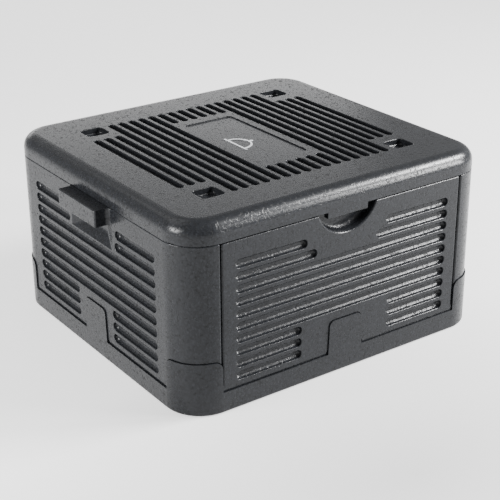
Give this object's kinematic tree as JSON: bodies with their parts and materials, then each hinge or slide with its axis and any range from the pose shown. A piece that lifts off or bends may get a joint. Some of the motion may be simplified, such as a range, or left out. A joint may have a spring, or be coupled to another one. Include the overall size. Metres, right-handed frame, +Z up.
{
  "type": "insulated food carrier",
  "caption": "Collapsible insulated food carrier in dark moulded bead foam: tray, fold-in long walls, end walls with hand grips, and a lift-off ribbed lid with stacking pockets.",
  "frame": {"origin": "on the ground under the middle of the box", "axes": "+X along the long side towards the right-hand grip, -Y towards the front panel, +Z up"},
  "size_m": [0.477, 0.411, 0.234],
  "materials": {
    "tray_foam": "moulded bead foam, fine spark-eroded grain",
    "wall_foam": "moulded bead foam, fine spark-eroded grain",
    "lid_foam": "moulded bead foam, fine spark-eroded grain",
    "pin_plastic": "moulded nylon, satin",
    "bush_plastic": "moulded acetal, smooth"
  },
  "bodies": {
    "base": {"base_tray": "tray_foam", "left_end_wall": "wall_foam", "right_end_wall": "wall_foam", "front_panel_pin_left": "pin_plastic", "front_panel_pin_right": "pin_plastic", "back_panel_pin_left": "pin_plastic", "back_panel_pin_right": "pin_plastic", "left_wall_pin_front": "pin_plastic", "left_wall_pin_back": "pin_plastic", "right_wall_pin_front": "pin_plastic", "right_wall_pin_back": "pin_plastic", "left_wall_bush_front": "bush_plastic", "left_wall_bush_back": "bush_plastic", "right_wall_bush_front": "bush_plastic", "right_wall_bush_back": "bush_plastic"},
    "front_wall": {"front_panel": "wall_foam", "front_panel_bush_left": "bush_plastic", "front_panel_bush_right": "bush_plastic"},
    "back_wall": {"back_panel": "wall_foam", "back_panel_bush_left": "bush_plastic", "back_panel_bush_right": "bush_plastic"},
    "lid": {"lid": "lid_foam"}
  },
  "joints": [
    {"name": "lid_lift", "type": "slide", "parent": "base", "child": "lid", "axis": [0, 0, 1], "range_m": [0, 0.16]},
    {"name": "front_panel_fold", "type": "hinge", "parent": "base", "child": "front_wall", "pos_m": [0, -0.192, 0.03], "axis": [-1, 0, 0], "range_deg": [0, 90]},
    {"name": "back_panel_fold", "type": "hinge", "parent": "base", "child": "back_wall", "pos_m": [0, 0.192, 0.03], "axis": [1, 0, 0], "range_deg": [0, 90]}
  ]
}
